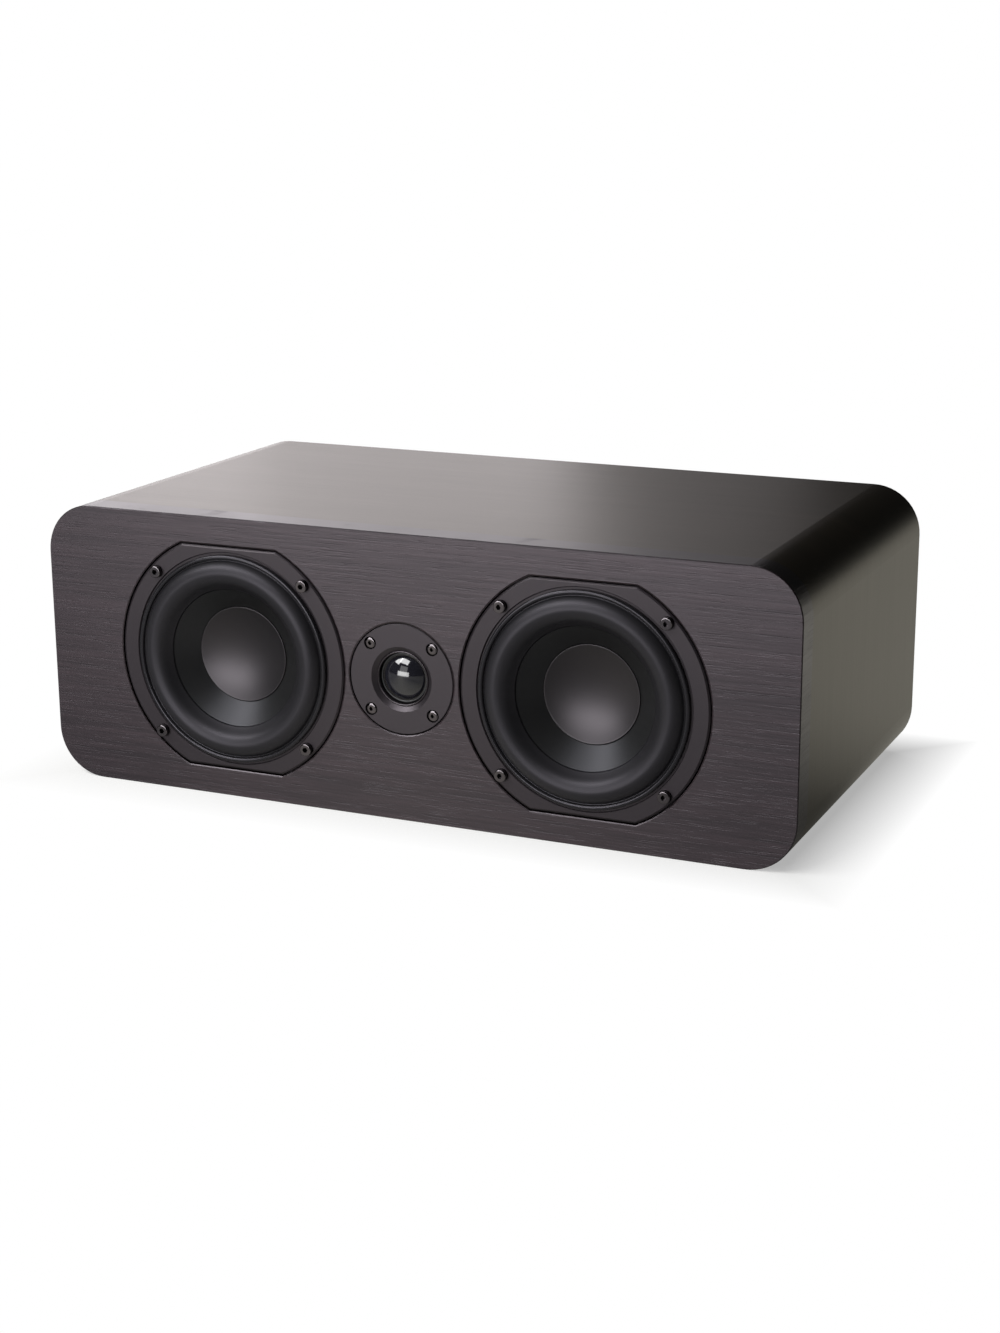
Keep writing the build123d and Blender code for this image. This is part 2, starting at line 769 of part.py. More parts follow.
# Tweeter surround: clamped flange, small roll and a lip around the edge of the dome
dome_lip = dome_former_radius + glue_gap
with BuildPart() as tweeter_surround:
    dome_roll_outer = throat_radius - dome_roll_thickness
    dome_roll_middle = (dome_lip + dome_roll_outer) / 2
    dome_roll_crest = -dome_edge_depth + dome_roll_height
    with BuildSketch(half_section(tweeter_face)):
        with BuildLine():
            Polyline(
                (dome_roll_outer - dome_roll_thickness, -plate_thickness),
                (flange_outer, -plate_thickness),
                (flange_outer, -dome_edge_depth),
                (dome_roll_outer, -dome_edge_depth),
            )
            ThreePointArc(
                (dome_roll_outer, -dome_edge_depth),
                (dome_roll_middle, dome_roll_crest),
                (dome_lip, -dome_edge_depth),
            )
            Polyline(
                (dome_lip, -dome_edge_depth),
                (dome_lip, -plate_thickness),
                (dome_lip + dome_roll_thickness, -plate_thickness),
            )
            ThreePointArc(
                (dome_lip + dome_roll_thickness, -plate_thickness),
                (dome_roll_middle, dome_roll_crest - dome_roll_thickness),
                (dome_roll_outer - dome_roll_thickness, -plate_thickness),
            )
        make_face()
    revolve(axis=axis_of(tweeter_face))
save(tweeter_surround, "tweeter_surround")

# Dome: thin shell whose edge stands inside the coil former
dome_crown = -dome_edge_depth + dome_height
with BuildPart() as tweeter_dome:
    for radius, crown, foot, mode in (
        (dome_radius, dome_crown, -plate_thickness, Mode.ADD),
        (dome_radius - dome_thickness, dome_crown - dome_thickness, -plate_thickness, Mode.SUBTRACT),
    ):
        rise = crown + dome_edge_depth
        sphere = (radius**2 + rise**2) / (2 * rise)
        half_way = crown - sphere + sqrt(sphere**2 - radius**2 / 4)
        with BuildSketch(half_section(tweeter_face)):
            with BuildLine():
                ThreePointArc((0, crown), (radius / 2, half_way), (radius, -dome_edge_depth))
                Polyline((radius, -dome_edge_depth), (radius, foot), (0, foot), (0, crown))
            make_face()
        revolve(axis=axis_of(tweeter_face), mode=mode)
save(tweeter_dome, "tweeter_dome")

# Tweeter voice coil: former around the dome's edge with a short winding in the magnet's gap
with BuildPart() as tweeter_voice_coil:
    dome_coil_far = plate_thickness + (tweeter_top_plate + dome_coil_length) / 2
    dome_coil_near = dome_coil_far - dome_coil_length
    turned_ring(tweeter_face, dome_radius, dome_former_radius, dome_edge_depth, dome_coil_far)
    turned_ring(
        tweeter_face,
        dome_former_radius,
        dome_winding_radius,
        max(dome_coil_near, dome_edge_depth + dome_roll_thickness + glue_gap),
        dome_coil_far,
    )
save(tweeter_voice_coil, "tweeter_voice_coil")

# Tweeter motor: plate, ring magnet and vented yoke
with BuildPart() as tweeter_top:
    turned_ring(
        tweeter_face,
        dome_winding_radius + dome_coil_gap,
        tweeter_motor_radius,
        plate_thickness,
        tweeter_magnet_depth,
    )
save(tweeter_top, "tweeter_top_plate")

with BuildPart() as tweeter_ring_magnet:
    turned_ring(
        tweeter_face, tweeter_magnet_hole / 2, tweeter_motor_radius, tweeter_magnet_depth, tweeter_yoke_depth
    )
save(tweeter_ring_magnet, "tweeter_magnet")

with BuildPart() as tweeter_back:
    tweeter_pole = dome_radius - dome_thickness - dome_coil_gap
    turned_ring(tweeter_face, tweeter_vent_diameter / 2, tweeter_pole, plate_thickness, tweeter_yoke_depth)
    turned_ring(
        tweeter_face, tweeter_vent_diameter / 2, tweeter_motor_radius, tweeter_yoke_depth, tweeter_depth
    )
save(tweeter_back, "tweeter_yoke")

# Tag strip on the back of the tweeter's yoke
with BuildPart() as tweeter_tag_strip:
    tweeter_tag_drop = (tweeter_motor_radius + tweeter_vent_diameter / 2) / 2
    tweeter_tag_seat = shifted(tweeter_face, 0, -tweeter_tag_drop, -tweeter_depth)
    add_tag_strip(tweeter_tag_seat)
save(tweeter_tag_strip, "tweeter_tag_strip")

# Tweeter screws
with BuildPart() as tweeter_screws:
    for seat in ring_of_seats(tweeter_face, tweeter_screw_circle):
        socket_screw(
            seat,
            tweeter_head_diameter / 2,
            tweeter_head_height,
            tweeter_head_round,
            0.0,
            tweeter_socket,
            tweeter_shank_diameter / 2,
            tweeter_shank_length,
        )
save(tweeter_screws, "tweeter_screws")

# Terminal cup: flanged tray let into the rear panel, with drafted sides and two post holes
with BuildPart() as terminal_cup:
    with BuildSketch(rear_face):
        RectangleRounded(cup_width, cup_height, cup_corner)
    extrude(amount=cup_flange)
    chamfer(terminal_cup.faces().sort_by(Axis.Y)[-1].edges(), edge_break)
    with BuildSketch(rear_face):
        RectangleRounded(cup_body_width, cup_body_height, cup_corner)
    extrude(amount=cup_flange - cup_recess - cup_floor)
    with BuildSketch(rear_face.offset(cup_flange)):
        RectangleRounded(cup_mouth_width, cup_mouth_height, cup_corner - cup_wall)
    extrude(amount=-cup_recess, taper=cup_draft, mode=Mode.SUBTRACT)
    with BuildSketch(cup_floor_face):
        with GridLocations(post_spacing, 0, 2, 1):
            Circle(stud_diameter / 2 + thread_gap)
    extrude(amount=-cup_floor, mode=Mode.SUBTRACT)
    with Locations(rear_face.offset(cup_flange)):
        with GridLocations(2 * cup_screw_x, 2 * cup_screw_z, 2, 2):
            CounterSinkHole(
                cup_shank_diameter / 2 + shank_gap, cup_head_diameter / 2 + shank_gap, cup_flange, 90
            )
save(terminal_cup, "terminal_cup")

# Countersunk screws that hold the cup
with BuildPart() as cup_screws:
    for x in (-cup_screw_x, cup_screw_x):
        for z in (-cup_screw_z, cup_screw_z):
            seat = shifted(rear_face, x, z, cup_flange)
            head = cup_head_diameter / 2
            shank = cup_shank_diameter / 2
            with BuildSketch(half_section(seat)):
                with BuildLine():
                    Polyline(
                        (0, 0),
                        (head, 0),
                        (shank, shank - head),
                        (shank, tip_length - cup_shank_length),
                        (0, -cup_shank_length),
                        close=True,
                    )
                make_face()
            revolve(axis=axis_of(seat))
            with BuildSketch(seat):
                Rectangle(cup_cross_length, cup_cross_width)
                Rectangle(cup_cross_width, cup_cross_length)
            extrude(amount=-cup_cross_depth, mode=Mode.SUBTRACT)
save(cup_screws, "cup_screws")

# Binding posts: stud through the cup's floor, insulating collar, clamp washer and gripped nut
washer_base = collar_height
nut_base = collar_height + washer_thickness
stud_end = nut_base + nut_length - nut_overhang
post_seats = {
    "red": shifted(cup_floor_face, -post_spacing / 2, 0),
    "black": shifted(cup_floor_face, post_spacing / 2, 0),
}
for colour, seat in post_seats.items():
    stud_radius = stud_diameter / 2
    stud_tail_end = cup_floor + lug_thickness + back_nut_height + stud_tail

    # Stud: plated rod with a socket for a plug in its free end
    with BuildPart() as stud:
        with BuildSketch(seat.offset(stud_end)):
            Circle(stud_radius)
        extrude(amount=-stud_end - stud_tail_end)
        chamfer(stud.faces().sort_by(Axis.Y)[-1].edges(), edge_break)
        with BuildSketch(seat.offset(stud_end)):
            Circle(banana_bore / 2)
        extrude(amount=-banana_depth, mode=Mode.SUBTRACT)
    save(stud, f"{colour}_post_stud")

    with BuildPart() as collar:
        turned_ring(seat, stud_radius + thread_gap, collar_diameter / 2, -collar_height, 0)
        chamfer(collar.edges().sort_by(Axis.Y)[-1], edge_break)
    save(collar, f"{colour}_post_collar")

    with BuildPart() as washer:
        turned_ring(seat, stud_radius + running_gap, washer_diameter / 2, -nut_base, -washer_base)
    save(washer, f"{colour}_post_washer")

    # Nut: open-ended grip with a fluted barrel and a plain, tapered end
    with BuildPart() as nut:
        nut_end = nut_base + nut_length
        grip_end = nut_base + nut_grip_length
        nut_radius = nut_diameter / 2
        with BuildSketch(half_section(seat)):
            with BuildLine():
                Polyline(
                    (stud_radius + running_gap, nut_base),
                    (nut_radius - edge_break, nut_base),
                    (nut_radius, nut_base + edge_break),
                    (nut_radius, grip_end),
                    (nut_radius - flute_diameter / 2, grip_end + edge_break),
                    (nut_radius - flute_diameter / 2 - nut_taper, nut_end - edge_break),
                    (nut_radius - flute_diameter / 2 - nut_taper - edge_break, nut_end),
                    (stud_radius + running_gap, nut_end),
                    close=True,
                )
            make_face()
        revolve(axis=axis_of(seat))
        with BuildSketch(seat.offset(nut_base)):
            with PolarLocations(nut_radius, flute_count):
                Circle(flute_diameter / 2)
        extrude(amount=nut_length, mode=Mode.SUBTRACT)
    save(nut, f"{colour}_post_nut")

# Solder lugs and hexagon nuts that clamp the posts from inside
with BuildPart() as solder_lugs:
    for seat in post_seats.values():
        with BuildSketch(seat.offset(-cup_floor)):
            Circle(lug_diameter / 2)
            with Locations((0, -lug_tail_length / 2)):
                Rectangle(lug_tail_width, lug_tail_length)
            Circle(stud_diameter / 2 + thread_gap, mode=Mode.SUBTRACT)
        extrude(amount=-lug_thickness)
save(solder_lugs, "solder_lugs")

with BuildPart() as post_back_nuts:
    for seat in post_seats.values():
        with BuildSketch(seat.offset(-cup_floor - lug_thickness)):
            RegularPolygon(back_nut_flats / 2, 6, major_radius=False)
            Circle(stud_diameter / 2 + thread_gap, mode=Mode.SUBTRACT)
        extrude(amount=-back_nut_height)
save(post_back_nuts, "post_back_nuts")

# Crossover board on spacers, screwed to the rear panel behind the right-hand woofer
with BuildPart() as crossover_board:
    with BuildSketch(board_face):
        RectangleRounded(board_width, board_height, board_corner)
        with GridLocations(2 * board_hole_x, 2 * board_hole_z, 2, 2):
            Circle(board_screw_shank / 2 + shank_gap, mode=Mode.SUBTRACT)
    extrude(amount=-board_thickness)
save(crossover_board, "crossover_board")

with BuildPart() as board_spacers:
    with BuildSketch(board_back_face):
        with GridLocations(2 * board_hole_x, 2 * board_hole_z, 2, 2):
            Circle(standoff_diameter / 2)
            Circle(board_screw_shank / 2 + shank_gap, mode=Mode.SUBTRACT)
    extrude(amount=-standoff_height)
save(board_spacers, "board_spacers")

with BuildPart() as board_screws:
    with BuildSketch(board_face.offset(board_screw_head_height)):
        with GridLocations(2 * board_hole_x, 2 * board_hole_z, 2, 2):
            Circle(board_screw_head / 2)
    extrude(amount=-board_screw_head_height)
    with BuildSketch(board_face):
        with GridLocations(2 * board_hole_x, 2 * board_hole_z, 2, 2):
            Circle(board_screw_shank / 2)
    extrude(amount=-board_thickness - standoff_height - board_screw_bite)
save(board_screws, "board_screws")

# Inductors: two self-supporting rings of wire, the large one in the woofers' branch
low_coil_seat = shifted(board_face, *low_coil_place)
high_coil_seat = shifted(board_face, *high_coil_place)
with BuildPart() as inductors:
    turned_ring(low_coil_seat, low_coil_hole / 2, low_coil_diameter / 2, -low_coil_height, 0)
    turned_ring(high_coil_seat, high_coil_hole / 2, high_coil_diameter / 2, -high_coil_height, 0)
save(inductors, "crossover_inductors")

# Capacitors: two cans that stand on the board
with BuildPart() as capacitors:
    for can_place, can_diameter, can_height in (
        (large_can_place, large_can_diameter, large_can_height),
        (small_can_place, small_can_diameter, small_can_height),
    ):
        can_radius = can_diameter / 2
        can_seat = shifted(board_face, *can_place)
        with BuildSketch(half_section(can_seat)):
            with BuildLine():
                Polyline(
                    (0, 0),
                    (can_radius, 0),
                    (can_radius, can_groove_start),
                    (can_radius - can_groove_depth, can_groove_start + can_groove_width / 2),
                    (can_radius, can_groove_start + can_groove_width),
                    (can_radius, can_height),
                    (0, can_height),
                    close=True,
                )
            make_face()
        revolve(axis=axis_of(can_seat))
save(capacitors, "crossover_capacitors")

with BuildPart() as resistor:
    with BuildSketch(shifted(board_face, *resistor_place)):
        Rectangle(resistor_length, resistor_width)
    extrude(amount=resistor_width)
save(resistor, "tweeter_resistor")

# Leads: from the edge of the board to each driver's tag strip and to the backs of the posts
def lead_start(place):
    """Point on the board where a lead is soldered, counted up and down from its middle."""
    return Vector(board_face.from_local_coords((lead_inset - board_width / 2, place * lead_pitch, 0)))


def lead_end(seat):
    """Point on the back of a tag strip where a lead ends."""
    return Vector(seat.from_local_coords((0, 0, -tag_strip_thickness)))


woofer_tag_seats = [
    shifted(face, 0, -tag_pad_reach + tag_strip_height / 2, -basket_depth) for face in woofer_faces.values()
]
clear_of_board = 2 * lead_bend + lead_diameter
clear_of_motor = woofer_depth + lead_bend
routes = []
for place, seat in zip((-2, -1), woofer_tag_seats):
    start = lead_start(place)
    end = lead_end(seat)
    bend_y = front_y + clear_of_motor
    routes.append(
        [
            start,
            start - Vector(0, clear_of_board + place * lead_diameter, 0),
            Vector(end.X, bend_y, end.Z),
            end,
        ]
    )
start = lead_start(0)
end = lead_end(tweeter_tag_seat)
routes.append(
    [
        start,
        start - Vector(0, clear_of_board, 0),
        Vector(end.X, front_y + clear_of_motor, end.Z),
        end,
    ]
)
for place, seat in zip((2, 1), post_seats.values()):
    start = lead_start(place)
    end = Vector(seat.from_local_coords((0, 0, -cup_floor - lug_thickness - back_nut_height - stud_tail)))
    turn_y = end.Y - clear_of_board + place * lead_diameter
    routes.append(
        [
            start,
            Vector(start.X, turn_y, start.Z),
            Vector(end.X, turn_y, end.Z),
            end,
        ]
    )
with BuildPart() as internal_leads:
    for route in routes:
        with BuildLine() as path:
            FilletPolyline(*route, radius=lead_bend)
        with BuildSketch(Plane(origin=path.line @ 0, z_dir=path.line % 0)):
            Circle(lead_diameter / 2)
        sweep(path=path.line)
save(internal_leads, "internal_leads")
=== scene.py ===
"""Center channel speaker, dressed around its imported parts: a veneered cabinet with two woofers, a
dome tweeter, and the terminals and crossover behind them. Metres, in the part's own frame."""

from math import asin, copysign, cos, hypot, pi, radians, sin, tan

import bmesh
import bpy
from mathutils import Matrix, Vector


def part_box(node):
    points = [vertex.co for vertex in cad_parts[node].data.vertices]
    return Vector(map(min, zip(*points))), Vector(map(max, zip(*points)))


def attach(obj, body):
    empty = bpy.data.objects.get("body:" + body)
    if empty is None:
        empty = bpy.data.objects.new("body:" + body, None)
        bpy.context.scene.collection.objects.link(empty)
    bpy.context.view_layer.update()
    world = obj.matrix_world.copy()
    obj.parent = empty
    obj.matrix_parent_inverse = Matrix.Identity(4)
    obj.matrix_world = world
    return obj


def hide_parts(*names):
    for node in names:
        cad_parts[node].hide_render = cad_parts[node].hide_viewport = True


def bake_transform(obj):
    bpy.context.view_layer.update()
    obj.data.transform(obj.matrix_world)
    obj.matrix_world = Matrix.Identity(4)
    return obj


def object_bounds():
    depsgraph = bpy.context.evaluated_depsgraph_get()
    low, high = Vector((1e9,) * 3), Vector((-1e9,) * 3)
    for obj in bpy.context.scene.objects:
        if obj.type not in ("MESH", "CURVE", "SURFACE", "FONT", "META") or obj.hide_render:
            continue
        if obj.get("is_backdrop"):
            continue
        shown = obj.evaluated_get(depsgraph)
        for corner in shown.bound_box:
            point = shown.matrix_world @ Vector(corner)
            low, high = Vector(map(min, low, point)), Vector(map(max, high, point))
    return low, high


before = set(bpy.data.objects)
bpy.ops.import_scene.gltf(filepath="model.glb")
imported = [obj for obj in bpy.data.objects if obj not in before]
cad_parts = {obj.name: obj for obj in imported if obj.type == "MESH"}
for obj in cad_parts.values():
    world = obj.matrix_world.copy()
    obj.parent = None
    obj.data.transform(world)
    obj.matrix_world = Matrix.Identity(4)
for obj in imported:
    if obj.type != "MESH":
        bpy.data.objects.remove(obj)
cad_low, cad_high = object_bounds()


# Cabinet: a front board and a band bent round the ends, both faced with dark stained veneer under
# satin lacquer. The grain runs along the front board, and round the cabinet on the band.
class Shade:
    """A value in a material's tree, so that shader maths reads as an expression."""

    def __init__(self, tree, socket=None):
        self.tree = tree
        self.socket = socket

    def node(self, kind, settings=None, inputs=None, output=0):
        """A new node of any kind, with its settings made before its sockets are filled."""
        made = self.tree.nodes.new(kind)
        for name, value in (settings or {}).items():
            setattr(made, name, value)
        for key, value in (inputs or {}).items():
            if isinstance(value, Shade):
                self.tree.links.new(value.socket, made.inputs[key])
            else:
                made.inputs[key].default_value = value
        return Shade(self.tree, made.outputs[output])

    def math(self, operation, first, second=0.0):
        return self.node("ShaderNodeMath", {"operation": operation}, {0: first, 1: second})

    def __add__(self, other):
        return self.math("ADD", self, other)

    __radd__ = __add__

    def __sub__(self, other):
        return self.math("SUBTRACT", self, other)

    def __rsub__(self, other):
        return self.math("SUBTRACT", other, self)

    def __mul__(self, other):
        return self.math("MULTIPLY", self, other)

    __rmul__ = __mul__

    def clamped(self):
        return self.node("ShaderNodeClamp", None, {0: self})

    def beyond(self, limit):
        """1 where this length is past the limit and 0 before it, with a step of 0.05 mm."""
        return ((self - limit) * 20000).clamped()

    def blend(self, first, second):
        """Colour that goes from the first to the second as this value goes from 0 to 1."""
        return self.node("ShaderNodeMix", {"data_type": "RGBA"}, {0: self, 6: first, 7: second}, 2)

    def place(self):
        """Where a point is on the object."""
        return self.node("ShaderNodeTexCoord", output=3)

    def along(self, axis):
        """How far a point is along an axis of the object: 0 across, 1 from front to back, 2 up."""
        return self.node("ShaderNodeSeparateXYZ", None, {0: self.place()}, axis)

    def depth(self):
        return self.along(1)

    def noise(self, scale, detail=3.0, vector=None):
        where = vector or self.place()
        return self.node("ShaderNodeTexNoise", None, {"Vector": where, "Scale": scale, "Detail": detail})


def new_finish(name, **sockets):
    """A material with one Principled shader, whose sockets that stay the same are set by name."""
    finish = bpy.data.materials.new(name)
    finish.use_nodes = True
    shader = finish.node_tree.nodes["Principled BSDF"]
    for socket, value in sockets.items():
        shader.inputs[socket.replace("_", " ")].default_value = value
    return finish, shader, Shade(finish.node_tree)


def feed(shader, socket, value):
    """Link a varying value to a socket of the shader."""
    value.tree.links.new(value.socket, shader.inputs[socket])


def emboss(shader, height, strength, distance):
    """Raise the surface a little where a value is high."""
    settings = {"Strength": strength, "Distance": distance, "Height": height}
    feed(shader, "Normal", height.node("ShaderNodeBump", None, settings))


def dress(finish, *names):
    """Give a finish to CAD nodes."""
    for name in names:
        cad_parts[name].data.materials.clear()
        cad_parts[name].data.materials.append(finish)


def inset(shade, driver):
    """How far a point is inside the outline of a driver's front; both woofers count as the right one."""
    low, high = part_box(driver)
    centre = (low + high) / 2
    sideways = shade.math("ABSOLUTE", shade.along(0)) - centre.x
    upward = shade.along(2) - centre.z
    from_round = (high.x - low.x) / 2 - shade.math("POWER", sideways * sideways + upward * upward, 0.5)
    from_flat = (high.z - low.z) / 2 - shade.math("ABSOLUTE", upward)
    return shade.math("MINIMUM", from_round, from_flat)


# near black for the pores of the wood, and for the painted shade on the board's edges and driver seats
pore_and_seam_shade_black = (0.003, 0.002, 0.002, 1)
satin = 0.36
grain_height = 0.0003
frame_seam = 0.0009
plate_seam = 0.0005
eased = 0.0007


def veneer(name, grain, relief, dark, light, edge=None, **sockets):
    """Stained wood whose streaks are fine along one direction and long in the other two. A board is painted
    near black behind the depth given, a painted shade that darkens its edges and the seams round the
    drivers, and its openings for the drivers are eased."""
    finish, shader, shade = new_finish(name, **sockets)
    stretched = shade.node("ShaderNodeVectorMath", {"operation": "MULTIPLY"}, {0: shade.place(), 1: grain})
    sway = shade.noise(9.0) * 0.6
    fibre = shade.node("ShaderNodeVectorMath", {"operation": "ADD"}, {0: stretched, 1: sway})
    streak = shade.noise(1.0, 5.0, fibre)
    broad = shade.noise(0.12, 2.0, fibre)
    pores = ((shade.noise(2.6, 2.0, fibre) - 0.58) * 8).clamped()
    tone = ((streak - 0.5) * 2.2 + (broad - 0.5) * 1.2 + 0.5).clamped()
    wood = tone.blend(dark, light)
    wood = (pores * 0.7).blend(wood, pore_and_seam_shade_black)
    if edge is not None:
        # painted shade: the board is near black behind its front face, so its edges and the seams round the
        # drivers read dark
        wood = shade.depth().beyond(edge).blend(wood, pore_and_seam_shade_black)
    feed(shader, "Base Color", wood)
    feed(shader, "Roughness", satin + (0.5 - tone + pores) * relief * 0.3)
    height = (streak - pores * 0.8) * relief
    if edge is not None:
        frames = inset(shade, "right_woofer_basket") + frame_seam
        plate = inset(shade, "tweeter_plate") + plate_seam
        height = height + (shade.math("MAXIMUM", frames, plate) * (-1 / eased)).clamped() * 2
    emboss(shader, height, 1.0, grain_height)
    return finish


along_board = (16.0, 16.0, 620.0)
round_band = (16.0, 620.0, 16.0)
board_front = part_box("front_baffle")[0].y
# depth behind the board's front where its painted shade begins
painted_shade_start = 0.0002
board_veneer = veneer(
    "board_veneer",
    along_board,
    0.18,
    (0.0085, 0.0060, 0.0070, 1),
    (0.026, 0.0185, 0.0212, 1),
    board_front + painted_shade_start,
    Specular_IOR_Level=0.54,
    Specular_Tint=(1.0, 0.91, 1.0, 1),
)
dress(board_veneer, "front_baffle")
# The band's wood is painted much darker than the board's: painted shade that keeps its top and sides dark
# under the top lamps.
shaded_band_veneer = veneer(
    "shaded_band_veneer",
    round_band,
    0.04,
    (0.002, 0.0014, 0.001, 1),
    (0.009, 0.0062, 0.004, 1),
    Specular_Tint=(1.0, 0.84, 0.5, 1),
)
dress(shaded_band_veneer, "cabinet_wrap")

# Rear panel and braces: fibreboard, sprayed black on the panel and left raw on the two windowed
# braces. All three are glued inside the band, and the braces stiffen it beside the tweeter.
black_spray, shader, shade = new_finish("black_spray", Base_Color=(0.016, 0.015, 0.015, 1), Roughness=0.55)
emboss(shader, shade.noise(700.0), 0.25, 0.0002)
dress(black_spray, "rear_panel")

raw_board, shader, shade = new_finish("raw_fibreboard", Roughness=0.85)
flecks = shade.noise(900.0, 4.0)
feed(shader, "Base Color", flecks.blend((0.27, 0.18, 0.10, 1), (0.45, 0.32, 0.20, 1)))
emboss(shader, flecks, 0.2, 0.0002)
dress(raw_board, "left_brace", "right_brace")

# Wadding: a block of loose white fibre tucked under the top of each outer chamber, to damp the air
# behind the woofers. Its edges are soft, and its surface is uneven and tufted.
tufts = bpy.data.textures.new("tufts", "CLOUDS")
tufts.noise_scale = 0.025
white_fibre, shader, shade = new_finish("white_fibre", Roughness=1.0)
strands = shade.noise(350.0, 6.0)
feed(shader, "Base Color", strands.blend((0.66, 0.66, 0.63, 1), (0.86, 0.86, 0.84, 1)))
emboss(shader, strands, 0.7, 0.002)
for side in ("left", "right"):
    maker = bmesh.new()
    maker.from_mesh(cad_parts[f"{side}_wadding"].data)
    bmesh.ops.remove_doubles(maker, verts=maker.verts, dist=0.00001)
    fleece_mesh = bpy.data.meshes.new(f"{side}_fleece")
    maker.to_mesh(fleece_mesh)
    maker.free()
    fleece_mesh.materials.append(white_fibre)
    fleece = bpy.data.objects.new(f"{side}_fleece", fleece_mesh)
    bpy.context.collection.objects.link(fleece)
    even = fleece.modifiers.new("even", "REMESH")
    even.mode = "VOXEL"
    even.voxel_size = 0.004
    even.use_smooth_shade = True
    soft = fleece.modifiers.new("soft", "SMOOTH")
    soft.iterations = 15
    lumps = fleece.modifiers.new("lumps", "DISPLACE")
    lumps.texture = tufts
    lumps.mid_level = 1.0
    lumps.strength = 0.008
    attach(fleece, "cabinet")
    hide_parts(f"{side}_wadding")

# Woofer frames: moulded satin black, cut flat at the top and bottom, on a ring of black foam. Four
# socket screws of black oxide steel hold each one in its seat.
satin_black, shader, shade = new_finish(
    "satin_black",
    Base_Color=(0.0105, 0.0085, 0.0100, 1),
    Roughness=0.40,
    Specular_IOR_Level=0.40,
    Specular_Tint=(1.0, 0.90, 0.98, 1),
)
chamfer = 0.0005
edge_width = 0.0006
worn_edge = ((inset(shade, "right_woofer_basket") - chamfer) * (1 / edge_width)).clamped()
emboss(shader, worn_edge + shade.noise(2500.0, 2.0) * 0.012, 1.0, edge_width * 0.8)
dress(satin_black, "left_woofer_basket", "right_woofer_basket")

black_foam, shader, shade = new_finish("black_foam", Base_Color=(0.012, 0.012, 0.012, 1), Roughness=0.95)
emboss(shader, shade.noise(2200.0), 0.5, 0.0002)
dress(black_foam, "left_woofer_gasket", "right_woofer_gasket", "tweeter_gasket")

black_oxide = new_finish(
    "black_oxide", Base_Color=(0.13, 0.118, 0.126, 1), Metallic=1.0, Roughness=0.11
)[0]
dress(black_oxide, "woofer_screws", "tweeter_screws", "cup_screws")

# Woofer surrounds: smooth black rubber in one half roll. The rounded bead of the rim is glued to the
# frame's step and the lip to the front of the cone, so that the roll flexes as the cone moves.
bead_width = 0.0028
bead_rise = 0.0019
bead_round = 0.0012
groove_width = 0.0008
roll_width = 0.015
roll_height = 0.0052
rubber_thickness = 0.0009
lip_width = 0.0027
lip_taper = 0.0007
valley_width = 0.007
valley_passes = 12
cone_slope = radians(39.8)


def chain(maker, points):
    """Points joined in a line, as a list of its corners."""
    corners = [maker.verts.new(point) for point in points]
    for near, far in zip(corners, corners[1:]):
        maker.edges.new((near, far))
    return corners


def half_roll(maker, outer, inner, height):
    """An arc out to the front from one corner to a place nearer the axis, and its last corner."""
    chord = inner - outer.co
    bow = (chord.length**2 / 4 + height**2) / (2 * height)
    outward = Vector((chord.y, -chord.x, 0)).normalized()
    if outward.y > 0:
        outward = -outward
    centre = outer.co + chord / 2 + outward * (height - bow)
    sweep = 2 * asin(chord.length / 2 / bow)
    swept = bmesh.ops.spin(maker, geom=[outer], cent=centre, axis=(0, 0, 1), angle=-sweep, steps=24)
    return next(corner for corner in swept["geom_last"] if isinstance(corner, bmesh.types.BMVert))


def spun_sheet(name, maker, centre, thickness, finish):
    """Turn an outline round a driver's axis into a sheet with its thickness behind it."""
    outline = maker.verts[:] + maker.edges[:]
    bmesh.ops.spin(
        maker, geom=outline, cent=centre, axis=(0, 1, 0), angle=2 * pi, steps=144, use_merge=True
    )
    bmesh.ops.remove_doubles(maker, verts=maker.verts, dist=0.000001)
    bmesh.ops.recalc_face_normals(maker, faces=maker.faces)
    if sum(face.normal.y * face.calc_area() for face in maker.faces) > 0:
        bmesh.ops.reverse_faces(maker, faces=maker.faces)
    for face in maker.faces:
        face.smooth = True
    mesh = bpy.data.meshes.new(name)
    maker.to_mesh(mesh)
    maker.free()
    mesh.materials.append(finish)
    piece = bpy.data.objects.new(name, mesh)
    bpy.context.collection.objects.link(piece)
    wall = piece.modifiers.new("wall", "SOLIDIFY")
    wall.thickness = thickness
    wall.offset = -1
    return piece


def flex(piece):
    """Bake a ring's placement into its mesh."""
    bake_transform(piece)


